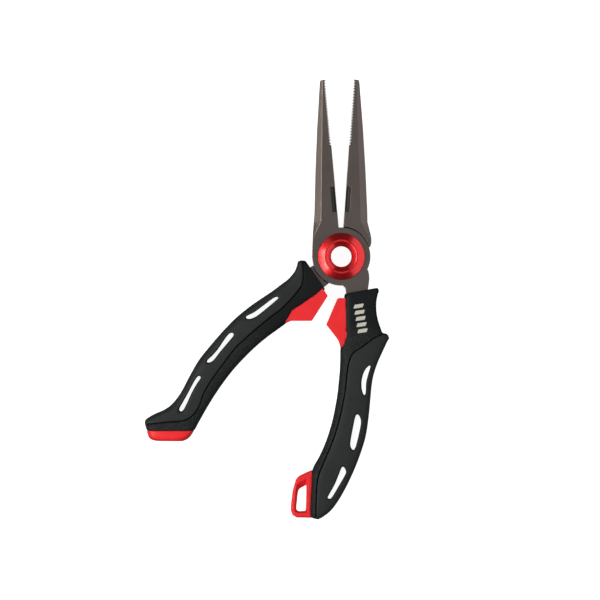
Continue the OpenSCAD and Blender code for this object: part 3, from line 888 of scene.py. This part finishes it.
def silver_bars():
    tree = Tree("silver_bars", count=BAR_COUNT, pitch=BAR_PITCH * MM, wide=BAR_WIDE * MM,
                tall=BAR_TALL * MM, lean=BAR_LEAN * MM, fillet=BAR_ROUND * MM,
                thickness=BAR_THICK * MM, finish=print_silver)
    ask = tree.socket
    line = tree.node("GeometryNodeMeshLine", Count=ask("count"),
                     Offset=tree.node("ShaderNodeCombineXYZ", Y=tree.maths("MULTIPLY", ask("pitch"), -1.0)))
    outline = tree.node("GeometryNodeCurvePrimitiveQuadrilateral", {"mode": "PARALLELOGRAM"},
                        i0=ask("wide"), i1=ask("tall"), i4=ask("lean"))
    corners = tree.node("GeometryNodeFilletCurve", {"mode": "POLY"},
                        Curve=outline, Count=4, Radius=ask("fillet"))
    face = tree.node("GeometryNodeFillCurve", {"mode": "NGONS"}, Curve=corners)
    top = tree.node("GeometryNodeExtrudeMesh", Mesh=face, Offset_Scale=ask("thickness"), Individual=False)
    under = tree.node("GeometryNodeFlipFaces", Mesh=face)
    join = tree.group.nodes.new("GeometryNodeJoinGeometry")
    for part in (top, under):
        tree.group.links.new(part, join.inputs[0])
    bar = tree.node("GeometryNodeMergeByDistance", Geometry=join.outputs[0], Distance=BAR_WELD)
    row = tree.node("GeometryNodeInstanceOnPoints", Points=line, Instance=bar)
    tree.finish(row, ask("finish"))
    return tree


mark = silver_bars().grow("silver_mark")
mark.data.transform(Matrix.Translation(Vector((*MARK_FIRST, MARK_FACE)) * MM)
                    @ Matrix.Rotation(math.radians(MARK_TURN), 4, "Z"))
finished(mark, print_silver, "magnet_nickel", body_of_node["right_handle_core"])

# %% [markdown]
# ## The red mouldings
# The magnet housings are flat-faced blocks with crisp edges, so bevelled copies of the CAD meshes suit
# them. The end cap closes the left handle and has to run on from it without a step, so it is the other end
# of the same loft.

# %% Magnet housings
HOUSING_EDGE = 0.3 * MM
for node in ("right_magnet_housing", "left_magnet_housing"):
    housing = machined(node + "_moulded", node, HOUSING_EDGE)
    finished(housing, moulded_red, "red_plastic", body_of_node[node], node)

# %% End cap
CAP_GAP = 0.15
CAP_SKIN = 0.25 * MM
cap = as_object("end_cap_moulded", handle_loft(LEFT_SLICES))
cut(cap, "DIFFERENCE", across(CAP_Y - CAP_GAP, CAP_Y + CLEAR))
finished(moulded(cap, CAP_SKIN), moulded_red, "red_plastic", body_of_node["end_cap"], "end_cap")

# %% [markdown]
# The lanyard loop is a thin frame at the foot of the right handle. Its hole is narrow half way through and
# flares out to both faces, so a cord doesn't chafe on a sharp rim. A bevel can't open it that far, so the
# hole is cut by a waisted tool that is lofted between two outlines. The right handle's loft is then taken
# away from the loop, which leaves it lying close against the handle.

# %% Lanyard loop
LOOP_OUTSIDE = [(-10.5, -99.4), (-13.7, -99.4), (-16, -100.3), (-19.7, -102.1), (-21.2, -103.8),
                (-22.6, -109), (-23.4, -115), (-23.5, -118.1), (-22.6, -120.2), (-20.7, -121.3),
                (-14.5, -121.4), (-10.5, -121.4)]
LOOP_HOLE = [(-16.3, -106.5), (-17.3, -106.8), (-19.3, -107.9), (-20.1, -109.4), (-20.6, -113.5),
             (-20.9, -117), (-20.5, -118), (-19.7, -118.4), (-17.1, -118.3), (-16.5, -117.8), (-16.3, -112)]
LOOP_FLARE = [(-15.7, -103.6), (-17.5, -103.8), (-20.2, -105.3), (-21.1, -108), (-21.5, -113.5),
              (-21.8, -117.4), (-21.3, -118.7), (-20.1, -119.2), (-16.7, -119.1), (-15.8, -118.4),
              (-15.6, -112)]
LOOP_HALF = 3.6
LOOP_WAIST = 0.9
LOOP_STEPS = 3
LOOP_ROUND = 0.7
LOOP_SKIN = 0.2 * MM
PAST = 0.1                          # mm, so that the hole's tool stands clear of the faces


def at_height(outline, z):
    return [(x, y, z) for x, y in outline]


loop = as_object("lanyard_loop_moulded", prism("loop", LOOP_OUTSIDE, [
    (-LOOP_HALF, -LOOP_ROUND), (LOOP_ROUND - LOOP_HALF, 0),
    (LOOP_HALF - LOOP_ROUND, 0), (LOOP_HALF, -LOOP_ROUND)]))
hole = spline(LOOP_HOLE, LOOP_STEPS, closed=True)
flare = spline(LOOP_FLARE, LOOP_STEPS, closed=True)
cut(loop, "DIFFERENCE", closed_mesh("hole", [
    at_height(flare, -LOOP_HALF - PAST), at_height(hole, -LOOP_WAIST),
    at_height(hole, LOOP_WAIST), at_height(flare, LOOP_HALF + PAST)]))
cut(loop, "DIFFERENCE", handle_loft(RIGHT_SLICES))
finished(moulded(loop, LOOP_SKIN), moulded_red, "red_plastic", body_of_node["lanyard_loop"], "lanyard_loop")

# %% [markdown]
# ## The studio
# The pale floor glows a little, like a light table, so the slots and the background stay clean. It doesn't
# light the pliers from below, as it would fill the dark sides that give them their shape. A tall wall on
# each side lights the jaws' bevels, a strip above each wall lines their edges, and a warm key on the left
# gives the pivot's cone its pale side. A weak panel above and a fill at each end keep the flats even. The
# camera sees a white room beyond the floor, though the room itself sends out little light.

# %% Floor
FLOOR_HALF = 4.0
FLOOR_GAP = 0.05 * MM
floor_mesh = bpy.data.meshes.new("floor")
floor_z = cad_low.z - FLOOR_GAP
corners = [(-FLOOR_HALF, -FLOOR_HALF), (FLOOR_HALF, -FLOOR_HALF),
           (FLOOR_HALF, FLOOR_HALF), (-FLOOR_HALF, FLOOR_HALF)]
floor_mesh.from_pydata(at_height(corners, floor_z), [], [(0, 1, 2, 3)])
floor = as_object("floor", floor_mesh)
paper = Finish("paper", Roughness=0.9, Emission_Color=(1, 1, 1, 1), Emission_Strength=0.93)
paper.colours(paper.noise(0.2), (0.36, 0.36, 0.36), (0.40, 0.40, 0.40))
floor.data.materials.append(paper.material)
floor.visible_diffuse = False
floor.visible_glossy = False
print("floor at mm:", round(floor_z / MM, 2))

# %% A softbox
def softbox(name, place, size, radiance, aim, tint=(1, 1, 1)):
    """A rectangular light; its power follows from its size and how bright it looks."""
    light = bpy.data.lights.new(name, "AREA")
    light.shape = "RECTANGLE"
    light.size, light.size_y = size
    light.energy = radiance * math.pi * light.size * light.size_y
    light.color = tint
    made = bpy.data.objects.new(name, light)
    made.location = place
    made.rotation_euler = (Vector(aim) - Vector(place)).to_track_quat("-Z", "Y").to_euler()
    scene.collection.objects.link(made)
    print(f"{name}: {light.energy:.2f} W")


# %% Place the lights
MIDDLE = (0, -0.02, 0)
STRAIGHT_DOWN = (0, 0.0001, 0)
WALL = (2.6, 1.1)
WALL_MIDDLE = 0.6
for name, x, radiance in (("left_wall", -0.85, 0.38), ("right_wall", 0.85, 1.1)):
    softbox(name, (x, 0, WALL_MIDDLE), WALL, radiance, (0, 0, WALL_MIDDLE))
for name, x, radiance in (("left_strip", -0.8, 1.8), ("right_strip", 0.8, 0.8)):
    softbox(name, (x, 0, 1.3), (1.6, 0.34), radiance, MIDDLE)
softbox("left_key", (-0.74, -0.13, 0.58), (0.95, 0.21), 13.5, MIDDLE, (1, 0.99, 0.88))
softbox("overhead", (0, 0, 1.5), (1.04, 1.04), 0.38, STRAIGHT_DOWN)
for name, y in (("near_fill", -0.55), ("far_fill", 0.55)):
    softbox(name, (0, y, 0.95), (0.5, 0.4), 1.2, MIDDLE)

# %% The room
ROOM_LIGHT = 0.1
world = bpy.data.worlds.new("studio")
world.use_nodes = True
sky = world.node_tree
dim = sky.nodes["Background"]
dim.inputs["Color"].default_value = (1, 1, 1, 1)
dim.inputs["Strength"].default_value = ROOM_LIGHT
white = sky.nodes.new("ShaderNodeBackground")
white.inputs["Color"].default_value = (1, 1, 1, 1)
seen = sky.nodes.new("ShaderNodeLightPath")
choose = sky.nodes.new("ShaderNodeMixShader")
sky.links.new(seen.outputs["Is Camera Ray"], choose.inputs[0])
sky.links.new(dim.outputs[0], choose.inputs[1])
sky.links.new(white.outputs[0], choose.inputs[2])
sky.links.new(choose.outputs[0], sky.nodes["World Output"].inputs["Surface"])
scene.world = world
scene.view_settings.view_transform = "Standard"
print("world:", world.name)
